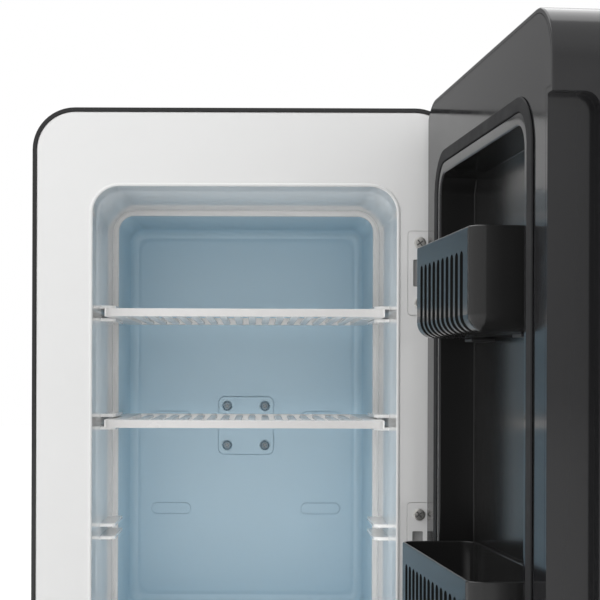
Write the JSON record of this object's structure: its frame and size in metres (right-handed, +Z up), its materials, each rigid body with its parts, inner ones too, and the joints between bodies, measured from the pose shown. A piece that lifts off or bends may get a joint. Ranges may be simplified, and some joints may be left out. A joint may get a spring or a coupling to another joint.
{
  "type": "mini fridge",
  "caption": "Compact thermoelectric mini fridge, white interior and glossy black door open on the right, with slatted shelves and slotted door bins.",
  "frame": {"origin": "centre of the cabinet's flat underside, 8 mm above the bottoms of the feet", "axes": "+Z up, -Y out of the cabinet's front, +X to the hinge side, to the right seen from the front"},
  "size_m": [0.3355, 0.6271, 0.444],
  "materials": {
    "gloss_black": "high gloss moulded black",
    "gloss_white": "glossy moulded white",
    "liner_metal": "satin anodised, pale blue",
    "shelf_white": "satin moulded white",
    "foam": "rigid foam",
    "rubber": "matte soft black",
    "steel": "zinc plated",
    "aluminium": "extruded",
    "black_plastic": "fine texture moulded black",
    "ceramic": "bare alumina",
    "board_green": "solder mask"
  },
  "bodies": {
    "cabinet": {"outer_shell": "gloss_black", "front_frame": "gloss_white", "inner_liner": "liner_metal", "foam_insulation": "foam", "left_upper_rail": "gloss_white", "right_upper_rail": "gloss_white", "left_middle_rail": "gloss_white", "right_middle_rail": "gloss_white", "left_lower_rail": "gloss_white", "right_lower_rail": "gloss_white", "cold_plate": "liner_metal", "cold_screw_top_left": "steel", "cold_screw_top_right": "steel", "cold_screw_bottom_left": "steel", "cold_screw_bottom_right": "steel", "cold_block": "aluminium", "peltier_module": "ceramic", "heat_sink": "aluminium", "fan_frame": "black_plastic", "rear_bulkhead": "black_plastic", "rear_cover": "black_plastic", "cover_screw_bottom_left": "steel", "cover_screw_bottom_right": "steel", "cover_screw_top_left": "steel", "cover_screw_top_right": "steel", "power_inlet": "black_plastic", "switch_housing": "black_plastic", "control_board": "board_green", "front_left_foot": "rubber", "front_right_foot": "rubber", "rear_left_foot": "rubber", "rear_right_foot": "rubber", "upper_hinge_plate": "gloss_white", "lower_hinge_plate": "gloss_white", "upper_hinge_pin": "steel", "lower_hinge_pin": "steel", "upper_hinge_screw_top": "steel", "upper_hinge_screw_bottom": "steel", "lower_hinge_screw_top": "steel", "lower_hinge_screw_bottom": "steel"},
    "door": {"door_outer_shell": "gloss_black", "door_liner": "gloss_black", "door_foam": "foam", "door_gasket": "rubber", "upper_door_knuckle": "black_plastic", "lower_door_knuckle": "black_plastic"},
    "upper_bin": {"upper_bin": "gloss_black"},
    "lower_bin": {"lower_bin": "gloss_black"},
    "upper_shelf": {"upper_shelf": "shelf_white"},
    "middle_shelf": {"middle_shelf": "shelf_white"},
    "rotor": {"fan_rotor": "black_plastic"},
    "rocker": {"switch_rocker": "black_plastic"}
  },
  "joints": [
    {"name": "door_hinge", "type": "hinge", "parent": "cabinet", "child": "door", "pos_m": [0.135, -0.1796, 0], "axis": [0, 0, 1], "range_deg": [-95.1, 8]},
    {"name": "upper_bin_lift", "type": "slide", "parent": "door", "child": "upper_bin", "axis": [0, 0, 1], "range_m": [0, 0.03]},
    {"name": "lower_bin_lift", "type": "slide", "parent": "door", "child": "lower_bin", "axis": [0, 0, 1], "range_m": [0, 0.03]},
    {"name": "upper_shelf_slide", "type": "slide", "parent": "cabinet", "child": "upper_shelf", "axis": [0, -1, 0], "range_m": [0, 0.13]},
    {"name": "middle_shelf_slide", "type": "slide", "parent": "cabinet", "child": "middle_shelf", "axis": [0, -1, 0], "range_m": [0, 0.13]},
    {"name": "fan_spin", "type": "hinge", "parent": "cabinet", "child": "rotor", "pos_m": [0, 0.134, 0.2106], "axis": [0, 1, 0], "continuous": true},
    {"name": "switch_rock", "type": "hinge", "parent": "cabinet", "child": "rocker", "pos_m": [-0.048, 0.163, 0.066], "axis": [0, 0, 1], "range_deg": [0, 12]}
  ]
}
